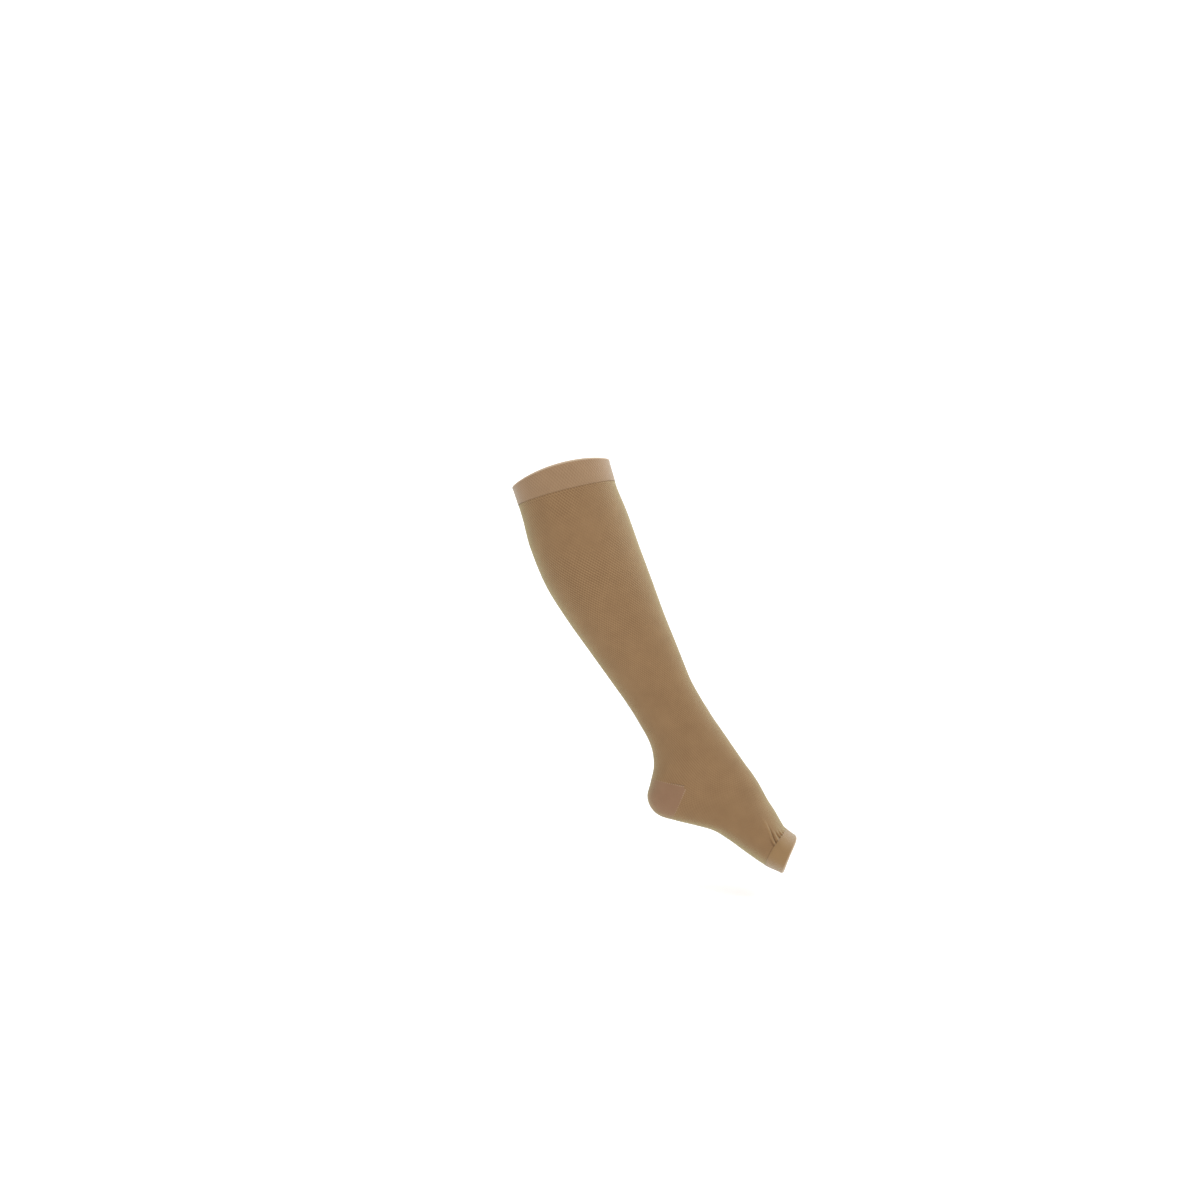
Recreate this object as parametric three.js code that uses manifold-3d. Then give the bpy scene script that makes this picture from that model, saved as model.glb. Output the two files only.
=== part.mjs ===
// Compression stocking: a knee-high, open-toe tube of fine elastic knit, in the shape that it takes on
// a leaning leg with a pointed foot.
// Millimetres, +Z up, +X towards the toes, the same on both sides of the XZ plane.
// The origin is the middle of the top rim, where the leg holds the stocking up.

import * as THREE from 'three';
import { mergeVertices } from 'three/addons/utils/BufferGeometryUtils.js';
import Module from 'manifold-3d';

const wasm = await Module();
wasm.setup();

// Thickness of the single knit and of the doubled bands, and how far a band stands out from the knit
const KNIT_WALL = 1.2;
const BAND_WALL = 2.0;
const BAND_PROUD = 0.4;

// Gap that parts each piece from its neighbour along a seam
const SEAM_GAP = 0.3;

// Sections of the knit's outer surface, from the top rim to the toe rim. Each lies in the plane
// through its front point, its back point and the Y direction.
//   half    half of the width, across Y
//   egg     share by which the front is narrower than the back; negative where the back is narrower
//   square  exponent of the superellipse: 2 is an ellipse, more is squarer
//   sweep   how far the two sides stand up the leg from that plane
const COLUMNS = ['name', 'frontX', 'frontZ', 'backX', 'backZ', 'half', 'egg', 'square', 'sweep'];
const SECTIONS = [
  ['top rim', 53.2, 15.9, -54.5, -15.5, 53.5, 0.03, 2, 6.5],
  ['band seam', 60.2, -8.1, -47.9, -35.5, 54, 0.04, 2, 0.5],
  ['below band', 63.8, -18.7, -42.8, -52.3, 54.5, 0.05, 2, 0],
  ['full calf', 73.7, -42.3, -35.1, -81.9, 55.5, 0.08, 2, 0],
  ['calf', 88.3, -82.9, -17.1, -125.6, 54, 0.1, 2, 0],
  ['low calf', 102.1, -120.1, 6.0, -162.8, 49, 0.08, 2, 0],
  ['mid shin', 115.2, -156.2, 30.7, -197.5, 42.5, 0.04, 2, 0],
  ['low shin', 130.4, -194.0, 56.4, -233.3, 36, 0, 2, 0],
  ['above ankle', 141.0, -220.8, 75.5, -260.2, 32, -0.04, 2, 0],
  ['ankle', 147.4, -235.2, 86.0, -277.0, 31, -0.06, 2, 0],
  ['bend', 166.5, -267.7, 100.2, -304.0, 32, -0.06, 2, 0],
  ['foot seam', 179.3, -286.4, 103.8, -326.3, 33, -0.04, 2, 0],
  ['over heel', 191.7, -304.4, 99.9, -346.4, 33, 0, 2.05, 0],
  ['heel back', 200.0, -316.4, 96.5, -361.0, 33, 0, 2.1, 0],
  ['heel', 207.0, -326.3, 100.0, -373.1, 33, 0, 2.15, 0],
  ['heel base', 213.7, -335.2, 109.5, -382.3, 33, 0, 2.2, 0],
  ['sole start', 220.4, -345.3, 127.8, -387.8, 34, 0.02, 2.2, 0],
  ['arch', 226.3, -355.9, 150.3, -393.1, 36, 0.05, 2.2, 0],
  ['instep', 231.8, -366.0, 169.3, -398.4, 38.5, 0.08, 2.2, 0],
  ['ball start', 238.5, -376.1, 187.2, -409.1, 41, 0.08, 2.2, 2],
  ['ball', 244.2, -386.1, 205.9, -422.6, 43, 0.06, 2.2, 5],
  ['toe seam', 250.7, -396.3, 226.3, -436.4, 44, 0.04, 2.2, 8],
  ['toe rim', 262.6, -405.9, 245.8, -445.3, 43.5, 0.02, 2.2, 5.3],
].map((row) => Object.fromEntries(COLUMNS.map((column, i) => [column, row[i]])));

// The leg's tube is one piece of knit. Its solid comes in three stretches, each between two sections.
const LEG_STRETCHES = [
  { name: 'leg_calf', from: 'band seam', to: 'low calf', rows: 9 },
  { name: 'leg_shin', from: 'low calf', to: 'low shin', rows: 6 },
  { name: 'leg_ankle', from: 'low shin', to: 'foot seam', rows: 8 },
];

// Puckers where the wide foot is drawn into the toe band, the same on both sides of the foot.
//   start, end  degrees round the foot from its upper ridge, where the pucker starts and at the band
//   rise        how far the knit stands out; negative where a trough draws it in
const PUCKERS = [
  { start: 64.5, end: 79, length: 46, width: 3.4, rise: 1.3 },
  { start: 64.5, end: 75.3, length: 34, width: 2.4, rise: -1.4 },
  { start: 81, end: 84, length: 14, width: 2.4, rise: -0.9 },
  { start: 63, end: 66.5, length: 18, width: 3.2, rise: 0.9 },
  { start: 58.5, end: 57.5, length: 16, width: 2.2, rise: -0.8 },
  { start: 53.5, end: 53.5, length: 13, width: 2.6, rise: 0.8 },
  { start: 50, end: 48, length: 12, width: 2.2, rise: -0.8 },
  { start: 44, end: 43.5, length: 10, width: 2.6, rise: 0.6 },
  { start: 38, end: 39, length: 9, width: 2.2, rise: -0.5 },
];

// A pucker starts out along the foot and turns more and more towards its end; 1 would be straight
const PUCKER_BEND = 1.5;

// Seen from the side, the heel pocket's edge runs from the back of the ankle to the gore's corner and
// down to the sole. Points are [x, z]; the corner is rounded off.
const HEEL_TOP = [96, -339.5];
const GORE_CORNER = [138, -347];
const HEEL_FRONT = [118.5, -396];
const GORE_ROUNDING = 5;
const GORE_STEPS = 6;

// Places round the tube where the walls have points: [from, to, steps] in degrees on each side
const LEG_ROUND = [[0, 180, 20]];
const FOOT_ROUND = [[0, 34, 4], [34, 90, 22], [90, 180, 8]];

// Steps along each piece, and round the fold of a band
const TOP_BAND_ROWS = 3;
const FOOT_ROWS = 28;
const TOE_BAND_ROWS = 4;
const FOLD_STEPS = 4;

const LAST = SECTIONS.length - 1;

// Distance of each section from the top rim, along the line through the sections' middles
const middleOf = (section) =>
  new THREE.Vector2(section.frontX + section.backX, section.frontZ + section.backZ).divideScalar(2);
const STATIONS = [0];
for (let i = 1; i <= LAST; i += 1) {
  const step = middleOf(SECTIONS[i]).distanceTo(middleOf(SECTIONS[i - 1]));
  STATIONS.push(STATIONS[i - 1] + step);
}
const stationOf = (name) => STATIONS[SECTIONS.findIndex((section) => section.name === name)];

// A smooth value of one of the table's columns at any station
function smooth(station, column) {
  let i = 0;
  while (i < LAST - 1 && STATIONS[i + 1] <= station) i += 1;
  const slope = (k) => {
    const before = Math.max(k - 1, 0);
    const after = Math.min(k + 1, LAST);
    return (SECTIONS[after][column] - SECTIONS[before][column]) / (STATIONS[after] - STATIONS[before]);
  };
  const span = STATIONS[i + 1] - STATIONS[i];
  const u = (station - STATIONS[i]) / span;
  const toNext = u * u * (3 - 2 * u);
  const leaving = u * (1 - u) * (1 - u) * span * slope(i);
  const arriving = u * u * (u - 1) * span * slope(i + 1);
  const straight = SECTIONS[i][column] * (1 - toNext) + SECTIONS[i + 1][column] * toNext;
  return straight + leaving + arriving;
}

// Point of the plain outer surface; the angle runs from the front over the -Y side to the back
function plainPoint(station, angle) {
  const [frontX, frontZ, backX, backZ, half, egg, square, sweep] =
    COLUMNS.slice(1).map((column) => smooth(station, column));
  const rounded = (value) => Math.sign(value) * Math.abs(value) ** (2 / square);
  const c = rounded(Math.cos(angle));
  const s = rounded(Math.sin(angle));
  const armX = (frontX - backX) / 2;
  const armZ = (frontZ - backZ) / 2;
  const raised = (sweep * s * s) / Math.hypot(armX, armZ);
  return new THREE.Vector3(
    (frontX + backX) / 2 + armX * c - armZ * raised,
    -half * s * (1 - egg * c),
    (frontZ + backZ) / 2 + armZ * c + armX * raised,
  );
}

// Direction out of the plain surface, from small steps along it and round it
const SMALL_STEP = 0.01;
function outward(station, angle) {
  const along = plainPoint(station + SMALL_STEP, angle).sub(plainPoint(station - SMALL_STEP, angle));
  const round = plainPoint(station, angle + SMALL_STEP).sub(plainPoint(station, angle - SMALL_STEP));
  return round.cross(along).normalize();
}

// Rise of the puckers: each is a soft ridge or trough that grows towards the toe band
function puckerRise(station, angle) {
  const toBand = stationOf('toe seam') - station;
  const side = Math.abs(THREE.MathUtils.radToDeg(Math.atan2(Math.sin(angle), Math.cos(angle))));
  const perDegree = plainPoint(station, angle).distanceTo(plainPoint(station, angle + Math.PI / 180));
  let rise = 0;
  for (const pucker of PUCKERS) {
    const along = THREE.MathUtils.clamp(1 - toBand / pucker.length, 0, 1);
    const middle = THREE.MathUtils.lerp(pucker.start, pucker.end, along ** PUCKER_BEND);
    const off = ((side - middle) * perDegree) / (pucker.width / 2);
    rise += pucker.rise * THREE.MathUtils.smoothstep(along, 0, 0.8) * Math.exp(-off * off);
  }
  return toBand < 0 ? 0 : rise;
}

// Point of a wall, moved out from the plain surface by lift
function wallPoint(station, angle, lift) {
  const out = lift + puckerRise(station, angle);
  return plainPoint(station, angle).addScaledVector(outward(station, angle), out);
}

const evenSteps = (from, to, steps) =>
  Array.from({ length: steps + 1 }, (_, i) => from + ((to - from) * i) / steps);

// Angles round the tube: the zones on the -Y side, then the same ones mirrored on the +Y side
function anglesRound(zones) {
  const half = zones.flatMap(([from, to, steps]) => evenSteps(from, to, steps).slice(0, -1));
  const otherHalf = half.map((angle) => 360 - angle).filter((angle) => angle < 360).reverse();
  return [...half, 180, ...otherHalf].map(THREE.MathUtils.degToRad);
}

// Outline of a wall along the leg as [station, lift]: down its outside, then back up its inside.
// A folded end is half round, the other end is square.
function wallOutline({ from, to, rows, outside, wall, foldedStart = false, foldedEnd = false }) {
  const radius = wall / 2;
  const start = from + (foldedStart ? radius : 0);
  const end = to - (foldedEnd ? radius : 0);
  const turn = evenSteps(0, Math.PI, FOLD_STEPS).slice(1, -1);
  const middle = outside - radius;
  const endFold = turn.map((a) => [end + radius * Math.sin(a), middle + radius * Math.cos(a)]);
  const startFold = turn.map((a) => [start - radius * Math.sin(a), middle - radius * Math.cos(a)]);
  return [
    ...evenSteps(start, end, rows).map((station) => [station, outside]),
    ...(foldedEnd ? endFold : []),
    ...evenSteps(end, start, rows).map((station) => [station, outside - wall]),
    ...(foldedStart ? startFold : []),
  ];
}

// Closed wall: the outline carried once round the tube
function wallGeometry(outline, angles) {
  const positions = angles.flatMap((angle) =>
    outline.flatMap(([station, lift]) => wallPoint(station, angle, lift).toArray()));
  const corner = (a, k) => (a % angles.length) * outline.length + (k % outline.length);
  const faces = [];
  for (let a = 0; a < angles.length; a += 1) {
    for (let k = 0; k < outline.length; k += 1) {
      faces.push(corner(a, k), corner(a + 1, k), corner(a + 1, k + 1));
      faces.push(corner(a, k), corner(a + 1, k + 1), corner(a, k + 1));
    }
  }
  const geometry = new THREE.BufferGeometry();
  geometry.setAttribute('position', new THREE.Float32BufferAttribute(positions, 3));
  geometry.setIndex(faces);
  return geometry;
}

function toManifold(geometry) {
  const bare = geometry.clone();
  bare.deleteAttribute('normal');
  bare.deleteAttribute('uv');
  const merged = mergeVertices(bare);
  return new wasm.Manifold(new wasm.Mesh({
    numProp: 3,
    vertProperties: new Float32Array(merged.attributes.position.array),
    triVerts: new Uint32Array(merged.index.array),
  }));
}

function toGeometry(manifold) {
  const { vertProperties, triVerts } = manifold.getMesh();
  const geometry = new THREE.BufferGeometry();
  geometry.setAttribute('position', new THREE.Float32BufferAttribute(vertProperties, 3));
  geometry.setIndex(Array.from(triVerts));
  return geometry;
}

// Block that holds the heel pocket, seen from the side; grown moves its edge into the foot
const CUTTER_REACH = 60;
const CUTTER_WIDTH = 120;
function heelCutter(grown) {
  const points = [HEEL_TOP, GORE_CORNER, HEEL_FRONT];
  const [top, corner, front] = points.map(([x, z]) => new THREE.Vector2(x, z));
  const alongTop = corner.clone().sub(top).normalize();
  const alongFront = front.clone().sub(corner).normalize();
  const topOut = new THREE.Vector2(-alongTop.y, alongTop.x);
  const frontOut = new THREE.Vector2(-alongFront.y, alongFront.x);
  // The rounded corner turns about a centre that lies one radius inside both edges
  const halfTurn = topOut.angleTo(frontOut) / 2;
  const towardsCorner = topOut.clone().add(frontOut).normalize();
  const centre = corner.clone().addScaledVector(towardsCorner, -GORE_ROUNDING / Math.cos(halfTurn));
  const topStart = top.clone().addScaledVector(topOut, grown).addScaledVector(alongTop, -CUTTER_REACH);
  const frontEnd = front.clone().addScaledVector(frontOut, grown).addScaledVector(alongFront, CUTTER_REACH);
  const shape = new THREE.Shape();
  shape.moveTo(top.x - CUTTER_REACH, front.y - CUTTER_REACH);
  shape.lineTo(topStart.x, topStart.y);
  shape.absarc(centre.x, centre.y, GORE_ROUNDING + grown, topOut.angle(), frontOut.angle(), true);
  shape.lineTo(frontEnd.x, frontEnd.y);
  const block = new THREE.ExtrudeGeometry(shape, {
    depth: CUTTER_WIDTH,
    bevelEnabled: false,
    curveSegments: GORE_STEPS,
  });
  return block.rotateX(Math.PI / 2).translate(0, CUTTER_WIDTH / 2, 0);
}

const knit = (name, colour) =>
  new THREE.MeshStandardMaterial({ name, color: colour, roughness: 0.8, metalness: 0 });
const LEG_KNIT = knit('leg_knit', 0x977858);
const HEEL_KNIT = knit('heel_knit', 0x997a60);
const BAND_KNIT = knit('band_knit', 0xa68b69);

const legStretch = ({ name, from, to, rows }) => [name, [LEG_KNIT, wallGeometry(
  wallOutline({
    from: stationOf(from) + SEAM_GAP / 2,
    to: stationOf(to) - SEAM_GAP / 2,
    rows,
    outside: 0,
    wall: KNIT_WALL,
  }),
  anglesRound(LEG_ROUND),
)]];

const footWall = toManifold(wallGeometry(
  wallOutline({
    from: stationOf('foot seam') + SEAM_GAP / 2,
    to: stationOf('toe seam') - SEAM_GAP / 2,
    rows: FOOT_ROWS,
    outside: 0,
    wall: KNIT_WALL,
  }),
  anglesRound(FOOT_ROUND),
));

const pieces = {
  top_band: [BAND_KNIT, wallGeometry(
    wallOutline({
      from: 0,
      to: stationOf('band seam') - SEAM_GAP / 2,
      rows: TOP_BAND_ROWS,
      outside: BAND_PROUD,
      wall: BAND_WALL,
      foldedStart: true,
    }),
    anglesRound(LEG_ROUND),
  )],
  ...Object.fromEntries(LEG_STRETCHES.map(legStretch)),
  heel: [HEEL_KNIT, toGeometry(footWall.intersect(toManifold(heelCutter(-SEAM_GAP / 2))))],
  foot: [LEG_KNIT, toGeometry(footWall.subtract(toManifold(heelCutter(SEAM_GAP / 2))))],
  toe_band: [BAND_KNIT, wallGeometry(
    wallOutline({
      from: stationOf('toe seam') + SEAM_GAP / 2,
      to: stationOf('toe rim'),
      rows: TOE_BAND_ROWS,
      outside: BAND_PROUD,
      wall: BAND_WALL,
      foldedEnd: true,
    }),
    anglesRound(FOOT_ROUND),
  )],
};

const group = new THREE.Group();
for (const [name, [material, geometry]] of Object.entries(pieces)) {
  const mesh = new THREE.Mesh(geometry, material);
  mesh.name = name;
  group.add(mesh);
}

export default group;
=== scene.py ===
# %% [markdown]
# # A worn compression stocking
# A knee-high, open-toe stocking of fine elastic knit keeps the shape of the leg that wears it. It is
# knitted as one long tube, so it has no side seam. What a maker adds to the tube is a turned band at
# the top, a heel pocket, and a narrow band round the open toe.
#
# The exact solids come first, as a fixed frame. They say where every piece lies, and the finer cloth is
# built on them.

# %% Load the fixed frame
import math

import bpy
import numpy as np
from mathutils import Matrix, Vector


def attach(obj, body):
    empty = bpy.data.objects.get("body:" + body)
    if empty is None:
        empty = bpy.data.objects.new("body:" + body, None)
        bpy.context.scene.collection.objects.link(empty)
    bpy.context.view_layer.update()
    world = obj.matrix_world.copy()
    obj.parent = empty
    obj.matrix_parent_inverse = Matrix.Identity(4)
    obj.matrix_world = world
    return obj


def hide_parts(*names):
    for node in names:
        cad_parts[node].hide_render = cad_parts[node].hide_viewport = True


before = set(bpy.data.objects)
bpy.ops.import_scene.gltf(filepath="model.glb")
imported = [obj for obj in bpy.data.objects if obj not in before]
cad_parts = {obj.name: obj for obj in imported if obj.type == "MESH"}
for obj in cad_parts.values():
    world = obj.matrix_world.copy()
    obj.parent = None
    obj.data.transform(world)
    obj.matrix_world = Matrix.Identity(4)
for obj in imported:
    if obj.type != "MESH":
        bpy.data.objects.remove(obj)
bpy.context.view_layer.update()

# %% [markdown]
# ## The camera
# The photo looks straight across the leg. Its rims are drawn as arches that rise above the picture's
# middle and sink below it, which only a camera about a metre and a half away does. So the view is a
# perspective one, level, and aimed at the middle of the picture.

# %% Make the camera
MM = 0.001
FRAME_WIDTH = 1.344
CAMERA_DISTANCE = 1.6
PICTURE_MIDDLE = Vector((0.0435, 0.0, -0.1415))
SENSOR = 36.0


def make_camera():
    data = bpy.data.cameras.new("camera")
    data.sensor_width = SENSOR
    data.lens = SENSOR * CAMERA_DISTANCE / FRAME_WIDTH
    camera = bpy.data.objects.new("camera", data)
    camera.location = PICTURE_MIDDLE + Vector((0, -CAMERA_DISTANCE, 0))
    camera.rotation_euler = (math.radians(90), 0, 0)
    bpy.context.scene.collection.objects.link(camera)
    bpy.context.scene.camera = camera
    return camera


camera = make_camera()
print(f"camera with a {camera.data.lens:.1f} mm lens, {CAMERA_DISTANCE} m away")

# %% [markdown]
# ## Shader maths as plain expressions
# A knit is a formula: so many wales round the leg and so many courses along it. Writing that formula as
# loose Math nodes hides it. One small class wraps a socket and overloads the operators, so the formula
# can be read as a formula while it still builds ordinary nodes.


# %% A socket that knows arithmetic
class Term:
    """A number that varies over the surface; arithmetic on it adds Math nodes."""

    def __init__(self, shader, socket):
        self.shader = shader
        self.socket = socket

    def _math(self, operation, *values):
        return self.shader.node("ShaderNodeMath", {"operation": operation}, *values)

    def __add__(self, other):
        return self._math("ADD", self, other)

    def __radd__(self, other):
        return self._math("ADD", other, self)

    def __sub__(self, other):
        return self._math("SUBTRACT", self, other)

    def __rsub__(self, other):
        return self._math("SUBTRACT", other, self)

    def __mul__(self, other):
        return self._math("MULTIPLY", self, other)

    def __rmul__(self, other):
        return self._math("MULTIPLY", other, self)

    def __truediv__(self, other):
        return self._math("DIVIDE", self, other)

    def __neg__(self):
        return self._math("MULTIPLY", self, -1.0)

    def __abs__(self):
        return self._math("ABSOLUTE", self)

    def fract(self):
        return self._math("FRACT", self)

    def wave(self):
        """Cosine of so many whole turns."""
        return self._math("COSINE", self * (2 * math.pi))

    def clamped(self):
        return self._math("MINIMUM", self._math("MAXIMUM", self, 0.0), 1.0)

    def bump_at(self, middle, width):
        """1 at middle, falling smoothly to 0 over width on both sides."""
        near = (1.0 - abs(self - middle) / width).clamped()
        return near * near * (3.0 - 2.0 * near)


class Shader:
    """A new material and the one method that adds a node to it."""

    def __init__(self, name):
        self.material = bpy.data.materials.new(name)
        self.material.use_nodes = True
        self.tree = self.material.node_tree
        self.surface = self.tree.nodes["Principled BSDF"]

    def node(self, kind, settings, *values, output=0):
        made = self.tree.nodes.new(kind)
        for key, value in settings.items():
            setattr(made, key, value)
        for socket, value in zip(made.inputs, values):
            self.feed(socket, value)
        return Term(self, made.outputs[output])

    def feed(self, socket, value):
        if isinstance(value, Term):
            self.tree.links.new(value.socket, socket)
        elif value is not None:
            socket.default_value = value

    def noise(self, place, scale, detail):
        made = self.node("ShaderNodeTexNoise", {}, place, None, scale, detail)
        return made

    def mixed(self, share, first, second):
        """A colour between two others, by share."""
        made = self.tree.nodes.new("ShaderNodeMix")
        made.data_type = "RGBA"
        self.feed(made.inputs["Factor"], share)
        self.feed(made.inputs["A"], first)
        self.feed(made.inputs["B"], second)
        return Term(self, made.outputs["Result"])

    def bumped(self, height, depth):
        """The surface's normal, tilted by a height that is 0 to 1 over depth metres."""
        made = self.tree.nodes.new("ShaderNodeBump")
        made.inputs["Distance"].default_value = depth
        self.feed(made.inputs["Height"], height)
        return Term(self, made.outputs["Normal"])

    def set(self, **constants):
        for name, value in constants.items():
            self.surface.inputs[name.replace("_", " ")].default_value = value


def linear(red, green, blue):
    """A colour as picked on the screen, 0 to 255, in the shader's own linear scale."""
    scaled = [value / 255 for value in (red, green, blue)]
    curve = [v / 12.92 if v <= 0.04045 else ((v + 0.055) / 1.055) ** 2.4 for v in scaled]
    return (*curve, 1.0)


print("shader class ready")

# %% [markdown]
# ## The shape of the tube
# The leg and foot are described by a few sections. Each one has a front point and a back point in the
# middle plane, a width, and how egg-shaped or square it is. A smooth curve runs through every column of
# the table, so any distance down the stocking gives a section. This is the same table that the solids
# are made from, and so the cloth lies exactly on them.

# %% The table of sections
COLUMNS = ("name", "front_x", "front_z", "back_x", "back_z", "half", "egg", "square", "sweep")
SECTIONS_MM = (
    ("top rim", 53.2, 15.9, -54.5, -15.5, 53.5, 0.03, 2, 6.5),
    ("band seam", 60.2, -8.1, -47.9, -35.5, 54, 0.04, 2, 0.5),
    ("below band", 63.8, -18.7, -42.8, -52.3, 54.5, 0.05, 2, 0),
    ("full calf", 73.7, -42.3, -35.1, -81.9, 55.5, 0.08, 2, 0),
    ("calf", 88.3, -82.9, -17.1, -125.6, 54, 0.1, 2, 0),
    ("low calf", 102.1, -120.1, 6.0, -162.8, 49, 0.08, 2, 0),
    ("mid shin", 115.2, -156.2, 30.7, -197.5, 42.5, 0.04, 2, 0),
    ("low shin", 130.4, -194.0, 56.4, -233.3, 36, 0, 2, 0),
    ("above ankle", 141.0, -220.8, 75.5, -260.2, 32, -0.04, 2, 0),
    ("ankle", 147.4, -235.2, 86.0, -277.0, 31, -0.06, 2, 0),
    ("bend", 166.5, -267.7, 100.2, -304.0, 32, -0.06, 2, 0),
    ("foot seam", 179.3, -286.4, 103.8, -326.3, 33, -0.04, 2, 0),
    ("over heel", 191.7, -304.4, 99.9, -346.4, 33, 0, 2.05, 0),
    ("heel back", 200.0, -316.4, 96.5, -361.0, 33, 0, 2.1, 0),
    ("heel", 207.0, -326.3, 100.0, -373.1, 33, 0, 2.15, 0),
    ("heel base", 213.7, -335.2, 109.5, -382.3, 33, 0, 2.2, 0),
    ("sole start", 220.4, -345.3, 127.8, -387.8, 34, 0.02, 2.2, 0),
    ("arch", 226.3, -355.9, 150.3, -393.1, 36, 0.05, 2.2, 0),
    ("instep", 231.8, -366.0, 169.3, -398.4, 38.5, 0.08, 2.2, 0),
    ("ball start", 238.5, -376.1, 187.2, -409.1, 41, 0.08, 2.2, 2),
    ("ball", 244.2, -386.1, 205.9, -422.6, 43, 0.06, 2.2, 5),
    ("toe seam", 250.7, -396.3, 226.3, -436.4, 44, 0.04, 2.2, 8),
    ("toe rim", 262.6, -405.9, 245.8, -445.3, 43.5, 0.02, 2.2, 5.3),
)
LENGTHS = ("front_x", "front_z", "back_x", "back_z", "half", "sweep")
NAMES = [row[0] for row in SECTIONS_MM]
TABLE = {
    column: np.array([row[i] for row in SECTIONS_MM], float) * (MM if column in LENGTHS else 1.0)
    for i, column in enumerate(COLUMNS)
    if i > 0
}
LAST = len(NAMES) - 1
_steps = np.hypot(
    np.diff(TABLE["front_x"] + TABLE["back_x"]) / 2,
    np.diff(TABLE["front_z"] + TABLE["back_z"]) / 2,
)
STATIONS = np.concatenate([[0.0], np.cumsum(_steps)])
print(f"{LAST + 1} sections over {STATIONS[-1]:.3f} m")


# %% Points of the surface
def station_of(name):
    """Distance of a named section from the top rim, along the tube's middle."""
    return float(STATIONS[NAMES.index(name)])


def smooth(station, column):
    """A smooth value of one column of the table at any station."""
    values = TABLE[column]
    i = np.clip(np.searchsorted(STATIONS, station, side="right") - 1, 0, LAST - 1)
    before = np.maximum(np.arange(LAST + 1) - 1, 0)
    after = np.minimum(np.arange(LAST + 1) + 1, LAST)
    slope = (values[after] - values[before]) / (STATIONS[after] - STATIONS[before])
    span = STATIONS[i + 1] - STATIONS[i]
    u = (station - STATIONS[i]) / span
    to_next = u * u * (3 - 2 * u)
    straight = values[i] * (1 - to_next) + values[i + 1] * to_next
    return straight + u * (1 - u) ** 2 * span * slope[i] + u * u * (u - 1) * span * slope[i + 1]


def plain_point(station, angle):
    """Point of the plain surface; the angle runs from the front over the -Y side to the back."""
    station, angle = np.broadcast_arrays(np.asarray(station, float), np.asarray(angle, float))
    row = {column: smooth(station, column) for column in COLUMNS[1:]}
    c, s = np.cos(angle), np.sin(angle)
    c = np.sign(c) * np.abs(c) ** (2 / row["square"])
    s = np.sign(s) * np.abs(s) ** (2 / row["square"])
    arm_x = (row["front_x"] - row["back_x"]) / 2
    arm_z = (row["front_z"] - row["back_z"]) / 2
    raised = row["sweep"] * s * s / np.hypot(arm_x, arm_z)
    x = (row["front_x"] + row["back_x"]) / 2 + arm_x * c - arm_z * raised
    y = -row["half"] * s * (1 - row["egg"] * c)
    z = (row["front_z"] + row["back_z"]) / 2 + arm_z * c + arm_x * raised
    return np.stack([x, y, z], axis=-1)


SMALL_MOVE = 0.01 * MM
SMALL_TURN = 0.01


def outward(station, angle):
    """Direction out of the plain surface."""
    along = plain_point(station + SMALL_MOVE, angle) - plain_point(station - SMALL_MOVE, angle)
    around = plain_point(station, angle + SMALL_TURN) - plain_point(station, angle - SMALL_TURN)
    normal = np.cross(around, along)
    return normal / np.linalg.norm(normal, axis=-1, keepdims=True)


girth = plain_point(station_of("full calf"), np.linspace(0, 2 * math.pi, 181))
print("calf measures", round(float(np.linalg.norm(np.diff(girth, axis=0), axis=1).sum()), 3), "m round")

# %% [markdown]
# ## Puckers at the toe
# The forefoot is wide and the toe band pulls the tube in, so the cloth gathers behind the band. The
# photo shows one long ridge that runs down from the instep with a sharp trough beside it, and a few
# short troughs fanned out above. Each is a soft ridge or trough that grows towards the band. They are
# listed one by one, and the far side of the foot has the same kind.

# %% Rise of the puckers
PUCKER_COLUMNS = ("start", "end", "length", "width", "rise")
PUCKERS_MM = (
    (64.5, 79, 46, 3.4, 1.3),
    (64.5, 75.3, 34, 2.4, -1.4),
    (81, 84, 14, 2.4, -0.9),
    (63, 66.5, 18, 3.2, 0.9),
    (58.5, 57.5, 16, 2.2, -0.8),
    (53.5, 53.5, 13, 2.6, 0.8),
    (50, 48, 12, 2.2, -0.8),
    (44, 43.5, 10, 2.6, 0.6),
    (38, 39, 9, 2.2, -0.5),
)
PUCKER_BEND = 1.5


def smooth_step(share):
    """0 to 1, soft at both ends."""
    u = np.clip(share, 0, 1)
    return u * u * (3 - 2 * u)


def pucker_rise(station, angle):
    """How far the puckers lift the cloth, in metres; negative where they draw it in."""
    to_band = station_of("toe seam") - station
    side = np.abs(np.degrees(np.arctan2(np.sin(angle), np.cos(angle))))
    next_degree = plain_point(station, angle + math.radians(1))
    per_degree = np.linalg.norm(next_degree - plain_point(station, angle), axis=-1)
    total = np.zeros(np.broadcast(station, angle).shape)
    for start, end, length, width, rise in PUCKERS_MM:
        along = np.clip(1 - to_band / (length * MM), 0, 1)
        middle = start + (end - start) * along**PUCKER_BEND
        off = (side - middle) * per_degree / (width * MM / 2)
        total = total + rise * MM * smooth_step(along / 0.8) * np.exp(-off * off)
    return np.where(to_band < 0, 0.0, total)


def cloth_point(station, angle, lift):
    """Point of the cloth, moved out from the plain surface by lift."""
    out = lift + pucker_rise(station, angle)
    return plain_point(station, angle) + outward(station, angle) * np.asarray(out)[..., None]


print(len(PUCKERS_MM), "ridges and troughs on each side")

# %% [markdown]
# ## From a drawn outline to cloth
# Each piece of cloth is one closed wall: an outline of the cloth's thickness is carried once round the
# leg. That gives both faces and the finished edges in one mesh. The UV map follows the knit: U counts
# the turn round the leg by true distance, and V is metres down the leg, so wales and courses stay even
# wherever the tube widens.


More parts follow.
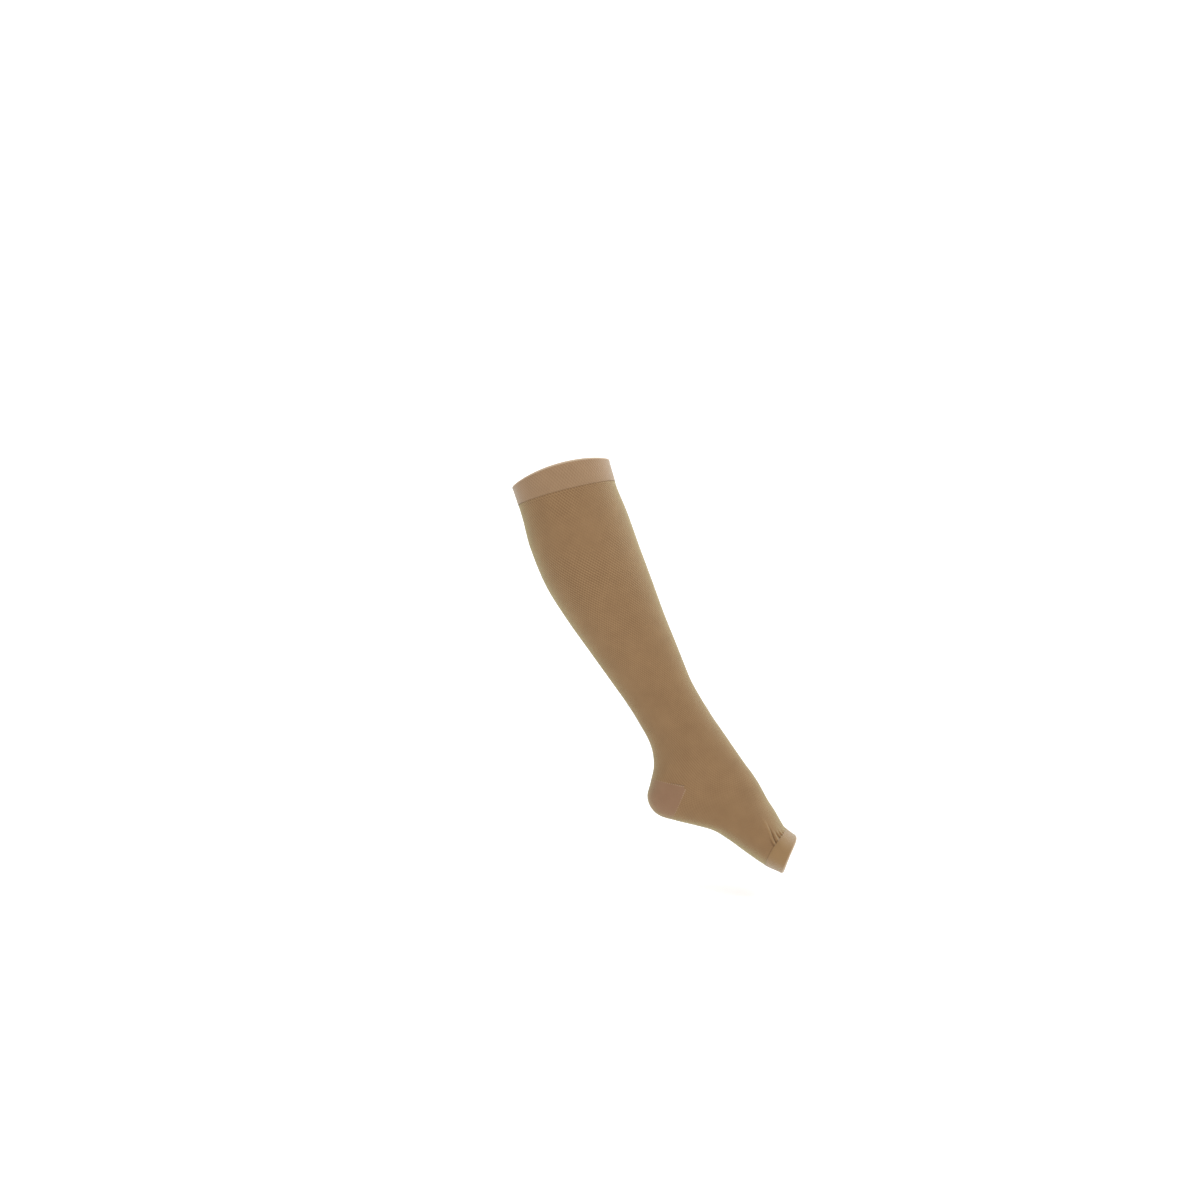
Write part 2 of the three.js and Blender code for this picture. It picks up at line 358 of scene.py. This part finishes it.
# %% Build a wall of cloth
def wall_outline(start, end, rows, outside, wall, folded_start=False, folded_end=False, bead=0.0, drop=0.0):
    """Points (station, lift) of the wall: down its outside, then back up its inside.

    A folded end is round and stands out by bead; the other end's outside sinks by drop.
    """
    turn_steps = 6
    radius = wall / 2
    first = start + (radius if folded_start else 0)
    final = end - (radius if folded_end else 0)
    down = np.linspace(first, final, rows + 1)
    fold, seam = (first, final) if folded_start else (final, first)
    swell = bead * np.exp(-(((down - fold) / (1.6 * MM)) ** 2))
    swell = swell - drop * np.exp(-(((down - seam) / (1.2 * MM)) ** 2))
    turn = np.linspace(0, math.pi, turn_steps + 1)[1:-1]
    top = outside + (bead if folded_start or folded_end else 0.0)
    thick = (top - (outside - wall)) / 2
    points = list(zip(down, outside + swell))
    if folded_end:
        points += [(final + thick * math.sin(a), top - thick + thick * math.cos(a)) for a in turn]
    points += [(s, outside - wall) for s in down[::-1]]
    if folded_start:
        points += [(first - thick * math.sin(a), top - thick - thick * math.cos(a)) for a in turn]
    return np.array(points)


def wall_mesh(name, outline, angles):
    """A closed wall of cloth, with its knit UV map."""
    stations, lifts = outline[:, 0], outline[:, 1]
    grid = cloth_point(stations[None, :], angles[:, None], lifts[None, :])
    columns, rows = grid.shape[:2]
    steps = np.linalg.norm(np.roll(grid, -1, axis=0) - grid, axis=-1)
    turned = np.concatenate([np.zeros((1, rows)), np.cumsum(steps, axis=0)]) / steps.sum(axis=0)
    a, k = np.meshgrid(np.arange(columns), np.arange(rows), indexing="ij")
    a, k = a.ravel(), k.ravel()
    next_a, next_k = a + 1, (k + 1) % rows
    corners_a = np.stack([a, next_a, next_a, a], axis=1)
    corners_k = np.stack([k, k, next_k, next_k], axis=1)
    faces = (corners_a % columns) * rows + corners_k
    mesh = bpy.data.meshes.new(name)
    mesh.from_pydata(grid.reshape(-1, 3).tolist(), [], faces.tolist())
    uv = mesh.uv_layers.new(name="knit")
    values = np.stack([turned[corners_a, corners_k], stations[corners_k]], axis=-1)
    uv.data.foreach_set("uv", values.ravel())
    # The rise is kept on the mesh so the knit can paint pucker crests paler and troughs darker: painted
    # highlight and painted shade.
    rise = pucker_rise(stations[None, :], angles[:, None]) * np.ones(grid.shape[:2])
    mesh.attributes.new("pucker_rise_for_painted_light", "FLOAT", "POINT").data.foreach_set("value", rise.ravel())
    mesh.validate()
    piece = bpy.data.objects.new(name, mesh)
    bpy.context.scene.collection.objects.link(piece)
    print(f"{name}: {len(mesh.polygons) * 2} triangles")
    return piece


def only(*pieces):
    """Selects these pieces and nothing else, with the first one active."""
    bpy.ops.object.select_all(action="DESELECT")
    for piece in pieces:
        piece.select_set(True)
    bpy.context.view_layer.objects.active = pieces[0]


def round_angles(zones):
    """Angles round the tube, from zones (from, to, steps) in degrees, mirrored to the other side."""
    half = np.concatenate([np.linspace(a, b, steps, endpoint=False) for a, b, steps in zones])
    return np.radians(np.concatenate([half, [180], 360 - half[:0:-1]]))


EVEN_ROUND = round_angles([(0, 180, 100)])
FOOT_ROUND = round_angles([(0, 34, 16), (34, 90, 76), (90, 180, 34)])
print("columns round the leg:", len(EVEN_ROUND), "and round the foot:", len(FOOT_ROUND))

# %% [markdown]
# ## The knit
# Elastic hosiery is knitted on one needle bed, so every wale is a column of small V shapes. The photo
# also shows a fine slanted lattice on the calf, where the stretched inlay yarn shows through. Both are
# formulas of the UV map, fed to colour and bump. The band is a denser, lighter knit, and the heel a
# plain one, a shade pinker.
# The colour also carries painted light: each pucker's crest is painted paler and its trough darker, a painted
# shadow runs along the toe seam, and a painted highlight runs along each band's fold.

# %% Knit materials
WALES = 384
LATTICE_ROUND = 104
COURSE = 0.85 * MM
LATTICE_RISE = 4.4 * MM
LATTICE_FADES_FROM = 0.13
LATTICE_FADES_OVER = 0.1
STITCH_DEPTH = 0.16 * MM
RIM_HIGHLIGHT_WIDTH = 1.5 * MM
# Painted light on the puckers: crests painted paler as a highlight, troughs painted darker as shade.
PUCKER_PAINTED_LIGHT = 600.0
# Painted shade: a dark line along the toe seam, where the band's proud edge casts shadow.
TOE_SEAM_PAINTED_SHADE = linear(98, 70, 44)
CLOTH_LIGHT = linear(142, 112, 78)
CLOTH_DARK = linear(117, 88, 59)
HEEL_LIGHT = linear(142, 110, 85)
HEEL_DARK = linear(121, 91, 68)
TOP_BAND_LIGHT = linear(150, 122, 93)
TOP_BAND_DARK = linear(131, 104, 77)
TOE_BAND_LIGHT = linear(147, 118, 82)
TOE_BAND_DARK = linear(126, 98, 64)
# Painted highlight: a pale line along each band's fold, where the fold catches the light.
RIM_PAINTED_HIGHLIGHT = linear(194, 175, 153)
CLOTH_SHEEN = (0.86, 1.0, 0.62, 1.0)
BAND_SHEEN = (0.93, 1.0, 0.95, 1.0)


def knit_material(name, light, dark, sheen, lattice, seam_rounds_and_painted_shade=False, rim=None):
    """A knit of small V stitches.

    The lattice is the strength of its slanted pattern. It may have rounds beside the top band and a
    painted shadow along the toe seam, and a painted highlight along a rim at one station. The puckers'
    rise paints their crests paler and their troughs darker, as painted light.
    """
    shader = Shader(name)
    uv = shader.node("ShaderNodeUVMap", {"uv_map": "knit"})
    split = shader.node("ShaderNodeSeparateXYZ", {}, uv)
    u = split
    v = Term(shader, split.socket.node.outputs[1])
    across = abs((u * WALES).fract() * 2.0 - 1.0)
    stitch = (1.0 - across * across) * (0.7 + 0.3 * (v / COURSE + across * 0.5).wave())
    down_right = (u * LATTICE_ROUND + v / LATTICE_RISE).wave()
    up_right = (u * LATTICE_ROUND - v / LATTICE_RISE).wave()
    fading = ((v - LATTICE_FADES_FROM) / LATTICE_FADES_OVER).clamped()
    place = Term(shader, shader.node("ShaderNodeTexCoord", {}).socket.node.outputs["Object"])
    patchy = (shader.noise(place, 14.0, 1.0) * 3.0 - 0.75).clamped()
    slanted = (0.54 * down_right + 0.26 * up_right) * (1.0 - fading * 0.5) * patchy
    cloudy = shader.noise(place, 55.0, 3.0)
    pucker_rise_for_painted_light = Term(shader, shader.node("ShaderNodeAttribute", {"attribute_name": "pucker_rise_for_painted_light"}, output=2).socket)
    # The pucker term paints a highlight on each crest and shade in each trough.
    shade = slanted * lattice + stitch * 0.2 + cloudy * 0.6 + 0.1 + pucker_rise_for_painted_light * PUCKER_PAINTED_LIGHT
    height = stitch * 0.6 + slanted * lattice
    if seam_rounds_and_painted_shade:
        below = v - station_of("band seam")
        rounds = (below / (2.3 * MM)).wave() * below.bump_at(2.5 * MM, 4.0 * MM)
        height = height + rounds * 0.8
        shade = shade + rounds * 0.25
    colour = shader.mixed(shade.clamped(), dark, light)
    if seam_rounds_and_painted_shade:
        # A dark line painted along the toe seam stands in for the shadow of the band's proud edge.
        colour = shader.mixed(v.bump_at(station_of("toe seam"), 1.5 * MM) * 0.6, colour, TOE_SEAM_PAINTED_SHADE)
    if rim is not None:
        # A pale line painted along the rim is a painted highlight of the fold catching the light.
        colour = shader.mixed(v.bump_at(rim, RIM_HIGHLIGHT_WIDTH) * 0.8, colour, RIM_PAINTED_HIGHLIGHT)
    shader.feed(shader.surface.inputs["Base Color"], colour)
    shader.feed(shader.surface.inputs["Normal"], shader.bumped(height, STITCH_DEPTH))
    shader.set(Roughness=0.75, Sheen_Weight=0.45, Sheen_Roughness=0.4, Sheen_Tint=sheen)
    shader.set(Specular_IOR_Level=0.25)
    print(f"{name}: {len(shader.tree.nodes)} nodes")
    return shader.material


TOP_RIM = 0.5 * MM
TOE_RIM = station_of("toe rim") - 0.5 * MM
LEG_KNIT = knit_material("leg_knit_cloth", CLOTH_LIGHT, CLOTH_DARK, CLOTH_SHEEN, 1.0, seam_rounds_and_painted_shade=True)
HEEL_KNIT = knit_material("heel_knit_cloth", HEEL_LIGHT, HEEL_DARK, CLOTH_SHEEN, 0.1)
TOP_KNIT = knit_material("top_band_knit_cloth", TOP_BAND_LIGHT, TOP_BAND_DARK, BAND_SHEEN, 0.5, rim=TOP_RIM)
TOE_KNIT = knit_material("toe_band_knit_cloth", TOE_BAND_LIGHT, TOE_BAND_DARK, BAND_SHEEN, 0.4, rim=TOE_RIM)

# %% [markdown]
# ## The long tube
# Leg and foot are knitted in one go, so one shell stands for both solids, and no line shows at the
# ankle. Its rows are close together at the toe, where the puckers need them.

# %% The tube from band to toe band
CLOTH = 0.8 * MM
FINE_FROM = station_of("toe seam") - 0.034


def tube_outline():
    """The wall's outline with ordinary rows down the leg and fine rows at the puckers."""
    top, toe = station_of("band seam"), station_of("toe seam")
    rows = np.concatenate([np.linspace(top, FINE_FROM, 150, endpoint=False), np.linspace(FINE_FROM, toe, 34)])
    outside = np.zeros(len(rows))
    outer = np.stack([rows, outside], axis=1)
    inner = np.stack([rows[::-1], outside - CLOTH], axis=1)
    return np.concatenate([outer, inner])


tube = wall_mesh("leg_and_foot_tube", tube_outline(), FOOT_ROUND)
tube.data.materials.append(LEG_KNIT)

# %% [markdown]
# ## The heel pocket
# The heel is a pocket with gore lines that run from the corner of the ankle. Cutting the tube with one
# block, seen from the side, gives both pieces the same edge. The block starts as a cube, its near corner
# is rounded with a bevel, and it cuts twice: what is inside it becomes the heel, the rest stays tube.

# %% Cut the heel out of the tube
HEEL_TOP = Vector((96, 0, -339.5)) * MM
GORE_CORNER = Vector((138, 0, -347)) * MM
HEEL_FRONT = Vector((118.5, 0, -396)) * MM
GORE_ROUNDING = 5 * MM
CUTTER_REACH = 60 * MM
CUTTER_WIDTH = 120 * MM


def heel_block():
    """A cube whose side view is moved to the heel's outline, with the gore's corner rounded."""
    bpy.ops.object.select_all(action="DESELECT")
    bpy.ops.mesh.primitive_cube_add(size=1, location=(0, 0, 0))
    block = bpy.context.active_object
    along_top = (GORE_CORNER - HEEL_TOP).normalized()
    along_front = (HEEL_FRONT - GORE_CORNER).normalized()
    places = {
        (-1, 1): HEEL_TOP - along_top * CUTTER_REACH,
        (1, 1): GORE_CORNER,
        (1, -1): HEEL_FRONT + along_front * CUTTER_REACH,
        (-1, -1): HEEL_TOP + Vector((-1, 0, -2)) * CUTTER_REACH,
    }
    for vertex in block.data.vertices:
        side = math.copysign(CUTTER_WIDTH / 2, vertex.co.y)
        place = places[(round(math.copysign(1, vertex.co.x)), round(math.copysign(1, vertex.co.z)))]
        vertex.co = Vector((place.x, side, place.z))
    for edge in block.data.edges:
        ends = [block.data.vertices[i].co for i in edge.vertices]
        edge.select = all((Vector((co.x, 0, co.z)) - GORE_CORNER).length < 0.1 * MM for co in ends)
    bpy.context.tool_settings.mesh_select_mode = (False, True, False)
    bpy.ops.object.mode_set(mode="EDIT")
    bpy.ops.mesh.bevel(offset=GORE_ROUNDING, segments=8, affect="EDGES")
    bpy.ops.object.mode_set(mode="OBJECT")
    return block


def cut(piece, block, operation):
    """Applies a boolean of piece with block."""
    only(piece)
    modifier = piece.modifiers.new("cut", "BOOLEAN")
    modifier.operation = operation
    modifier.object = block
    modifier.solver = "EXACT"
    bpy.ops.object.modifier_apply(modifier=modifier.name)
    print(f"{piece.name}: {len(piece.data.polygons)} faces after the cut")


block = heel_block()
heel = tube.copy()
heel.data = tube.data.copy()
heel.name = "heel_pocket"
bpy.context.scene.collection.objects.link(heel)
cut(heel, block, "INTERSECT")
cut(tube, block, "DIFFERENCE")
heel.data.materials.clear()
heel.data.materials.append(HEEL_KNIT)
bpy.data.objects.remove(block)

# %% [markdown]
# ## The two bands
# Both bands are the knit turned over and joined to itself, so each is twice as thick as the tube and
# ends in a fold. The fold is a little fuller than the band, and it catches the light as a thin line.
# A pale painted highlight along each rim makes that line stronger.

# %% Top band and toe band
BAND = 1.6 * MM
BAND_PROUD = 0.4 * MM
FOLD_BEAD = 0.3 * MM
SEAM_DROP = 0.28 * MM

top_band = wall_mesh(
    "top_band_cloth",
    wall_outline(
        0.0, station_of("band seam"), 40, BAND_PROUD, BAND, folded_start=True, bead=FOLD_BEAD, drop=SEAM_DROP
    ),
    EVEN_ROUND,
)
toe_band = wall_mesh(
    "toe_band_cloth",
    wall_outline(
        station_of("toe seam"), station_of("toe rim"), 28, BAND_PROUD, BAND, folded_end=True, bead=FOLD_BEAD,
        drop=SEAM_DROP,
    ),
    FOOT_ROUND,
)
top_band.data.materials.append(TOP_KNIT)
toe_band.data.materials.append(TOE_KNIT)

# %% [markdown]
# ## Stitches
# A round of linking stitches closes the turned band on the tube, and shows as a dotted line. Along the
# heel's gore the loops are doubled and stand out at the corner. One stitch is modelled, and its mesh is
# repeated along each line.


# %% One stitch, repeated along a line
def stitch_shape():
    """A small bar with round ends, one unit long, along X."""
    bpy.ops.object.select_all(action="DESELECT")
    bpy.ops.mesh.primitive_uv_sphere_add(segments=8, ring_count=6, radius=0.5, location=(0, 0, 0))
    bar = bpy.context.active_object
    bpy.ops.object.mode_set(mode="EDIT")
    bpy.ops.mesh.select_all(action="SELECT")
    bpy.ops.transform.resize(value=(1.0, 0.36, 0.3))
    bpy.ops.object.mode_set(mode="OBJECT")
    points = np.array([vertex.co for vertex in bar.data.vertices])
    faces = [list(face.vertices) for face in bar.data.polygons]
    bpy.data.objects.remove(bar)
    return points, faces


STITCH_POINTS, STITCH_FACES = stitch_shape()


def stitch_line(name, places):
    """One mesh of stitches from places: (middle, direction, outward, length)."""
    points, faces = [], []
    for middle, direction, out, length in places:
        side = np.cross(out, direction)
        axes = np.stack([direction, side / np.linalg.norm(side), out])
        base = len(points) * len(STITCH_POINTS)
        points.append(STITCH_POINTS @ axes * length + middle)
        faces += [[base + i for i in face] for face in STITCH_FACES]
    mesh = bpy.data.meshes.new(name)
    mesh.from_pydata(np.concatenate(points).tolist(), [], faces)
    piece = bpy.data.objects.new(name, mesh)
    bpy.context.scene.collection.objects.link(piece)
    print(f"{name}: {len(places)} stitches")
    return piece


def thread_material(name, colour):
    """Spun thread: a soft colour that varies a little from stitch to stitch."""
    shader = Shader(name)
    place = Term(shader, shader.node("ShaderNodeTexCoord", {}).socket.node.outputs["Object"])
    fibre = shader.noise(place, 2600.0, 2.0)
    darker = tuple(0.8 * value for value in colour[:3]) + (1.0,)
    shader.feed(shader.surface.inputs["Base Color"], shader.mixed(fibre, darker, colour))
    shader.feed(shader.surface.inputs["Normal"], shader.bumped(fibre, 0.05 * MM))
    shader.set(Roughness=0.7, Sheen_Weight=0.3)
    return shader.material


BAND_STITCHES = 160
STITCH_LENGTH = 1.3 * MM
STITCH_SUNK = 0.1 * MM


def ring_stitches(name, station, count, length, lift, lean):
    """Stitches evenly spaced round the tube, leaning by lean from the tube's own direction."""
    fine = np.linspace(0, 2 * math.pi, 2001)
    ring = plain_point(station, fine)
    turned = np.concatenate([[0], np.cumsum(np.linalg.norm(np.diff(ring, axis=0), axis=1))])
    angles = np.interp(np.arange(count) / count * turned[-1], turned, fine)
    places = []
    for angle in angles:
        out = outward(station, angle)
        along = plain_point(station + SMALL_MOVE, angle) - plain_point(station - SMALL_MOVE, angle)
        along = along / np.linalg.norm(along)
        across = np.cross(out, along)
        direction = along * math.cos(lean) + across * math.sin(lean)
        places.append((cloth_point(station, angle, lift), direction, out, length))
    return stitch_line(name, places)


band_stitches = ring_stitches(
    "band_stitches", station_of("band seam") + 0.2 * MM, BAND_STITCHES, STITCH_LENGTH, 0.1 * MM, math.radians(20)
)
band_stitches.data.materials.append(thread_material("band_thread", linear(92, 66, 44)))

# %% Gore stitches at the heel
GORE_PITCH = 2.1 * MM
GORE_FADE = 14 * MM
GORE_LENGTH = 1.6 * MM
GORE_GROWTH = 0.9 * MM
LOOPS_BESIDE = 0.25 * MM
KNOTS_BESIDE = 1.3 * MM


def gore_places(path, beside, reach, lean):
    """Places beside part of the heel's edge, on both sides of the foot, longest at the gore's corner.

    They stop at reach from the corner.
    """
    places = []
    for start, end in zip(path, path[1:]):
        count = int((end - start).length / GORE_PITCH)
        for i in range(count):
            point = start.lerp(end, (i + 0.5) / count)
            from_corner = (point - GORE_CORNER).length
            if not GORE_ROUNDING / 2 < from_corner < reach:
                continue
            near = math.exp(-((from_corner / GORE_FADE) ** 2))
            direction = (end - start).normalized()
            on_tube = point + Matrix.Rotation(-math.pi / 2, 3, "Y") @ direction * beside
            for side in (-1, 1):
                origin = Vector((on_tube.x, side * CUTTER_WIDTH, on_tube.z))
                hit, place, normal, _ = tube.ray_cast(origin, Vector((0, -side, 0)))
                if not hit:
                    continue
                leaning = Matrix.Rotation(lean, 3, "Y") @ direction
                flat = (leaning - normal * leaning.dot(normal)).normalized()
                middle = place - normal * STITCH_SUNK
                length = GORE_LENGTH + GORE_GROWTH * near
                places.append((np.array(middle), np.array(flat), np.array(normal), length))
    return places


loop_path = [HEEL_TOP, GORE_CORNER, HEEL_FRONT]
gore_loops = stitch_line("gore_loops", gore_places(loop_path, LOOPS_BESIDE, 70 * MM, math.radians(35)))
gore_loops.data.materials.append(thread_material("gore_thread", linear(158, 129, 101)))
knot_path = [HEEL_TOP, GORE_CORNER]
gore_knots = stitch_line("gore_knots", gore_places(knot_path, KNOTS_BESIDE, 17 * MM, math.radians(-15)))
gore_knots.data.materials.append(thread_material("gore_knot_thread", linear(96, 70, 47)))

# %% [markdown]
# ## Smooth shading
# Cloth is smooth over its faces and sharp only where an edge turns, so shading is smoothed by angle.

# %% Smooth the pieces
PIECES = (tube, heel, top_band, toe_band, band_stitches, gore_loops, gore_knots)
for piece in PIECES:
    only(piece)
    bpy.ops.object.shade_smooth_by_angle(angle=math.radians(50))
print("smoothed")

# %% [markdown]
# ## What each piece is
# The pieces ride on the one body and take the place of their solids. Knit is stretched when worn: the
# tube is knitted at about four fifths of the leg's girth, and near its full length.

for piece in PIECES:
    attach(piece, "root")
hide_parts("leg_calf", "leg_shin", "leg_ankle", "foot")
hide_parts("heel")
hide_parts("top_band")
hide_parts("toe_band")

# %% [markdown]
# ## The studio
# The photo is a cut-out on white. A pale floor that curves up into a backdrop gives the same quiet
# ground with nothing to see at its far edge. One big soft light stands to the right and in front, a
# weaker one to the left, and one behind on the right brightens the shin's edge, as in the photo.

# %% Floor and backdrop
FLOOR = -0.475
FLOOR_WIDTH = 12.0
FLOOR_FRONT = -4.0
FLOOR_BACK = 3.0
BACKDROP_HEIGHT = 6.0
CURVE_RADIUS = 1.2


def make_floor():
    """A plane whose far edge is spun upwards and then pulled straight up."""
    bpy.ops.object.select_all(action="DESELECT")
    bpy.ops.mesh.primitive_plane_add(size=1, location=(0, 0, FLOOR))
    floor = bpy.context.active_object
    floor.name = "floor"
    bpy.ops.object.mode_set(mode="EDIT")
    bpy.ops.mesh.select_all(action="SELECT")
    bpy.ops.transform.resize(value=(FLOOR_WIDTH, FLOOR_BACK - FLOOR_FRONT, 1))
    bpy.ops.transform.translate(value=(0, (FLOOR_BACK + FLOOR_FRONT) / 2, 0))
    bpy.ops.object.mode_set(mode="OBJECT")
    bpy.context.tool_settings.mesh_select_mode = (False, True, False)
    for edge in floor.data.edges:
        edge.select = all(floor.data.vertices[i].co.y > FLOOR_BACK - 0.01 for i in edge.vertices)
    for face in floor.data.polygons:
        face.select = False
    bpy.ops.object.mode_set(mode="EDIT")
    bpy.ops.mesh.spin(
        steps=16, angle=math.radians(90), center=(0, FLOOR_BACK, FLOOR + CURVE_RADIUS), axis=(1, 0, 0)
    )
    bpy.ops.mesh.extrude_region_move(TRANSFORM_OT_translate={"value": (0, 0, BACKDROP_HEIGHT)})
    bpy.ops.object.mode_set(mode="OBJECT")
    only(floor)
    bpy.ops.object.shade_smooth()
    shader = Shader("pale_paper")
    place = Term(shader, shader.node("ShaderNodeTexCoord", {}).socket.node.outputs["Object"])
    grain = shader.noise(place, 3.0, 2.0)
    colour = shader.mixed(grain, (0.9, 0.9, 0.9, 1), (0.93, 0.93, 0.93, 1))
    shader.feed(shader.surface.inputs["Base Color"], colour)
    shader.set(Roughness=0.9, Emission_Color=(1, 1, 1, 1), Emission_Strength=0.45)
    floor.data.materials.append(shader.material)
    return floor


floor = make_floor()
print("floor at", FLOOR, "m")


# %% Lights
def area_light(name, place, target, size, power, colour):
    data = bpy.data.lights.new(name, "AREA")
    data.shape = "SQUARE"
    data.size = size
    data.energy = power
    data.color = colour
    light = bpy.data.objects.new(name, data)
    light.location = place
    light.rotation_euler = (Vector(target) - Vector(place)).to_track_quat("-Z", "Y").to_euler()
    bpy.context.scene.collection.objects.link(light)
    return light


MIDDLE = (0.1, 0.0, -0.21)
area_light("key", (1.45, -1.55, 1.5), MIDDLE, 1.3, 27.0, (1.0, 0.985, 0.95))
area_light("fill", (-1.7, -1.5, 0.4), MIDDLE, 1.6, 8.0, (1.0, 0.985, 0.93))
area_light("edge", (1.4, 0.85, 0.95), MIDDLE, 1.0, 21.0, (0.93, 1.0, 1.0))

world = bpy.data.worlds.new("studio")
world.use_nodes = True
world.node_tree.nodes["Background"].inputs["Color"].default_value = (1, 1, 1, 1)
world.node_tree.nodes["Background"].inputs["Strength"].default_value = 0.72
bpy.context.scene.world = world
bpy.context.scene.view_settings.view_transform = "Standard"
print("three lights")
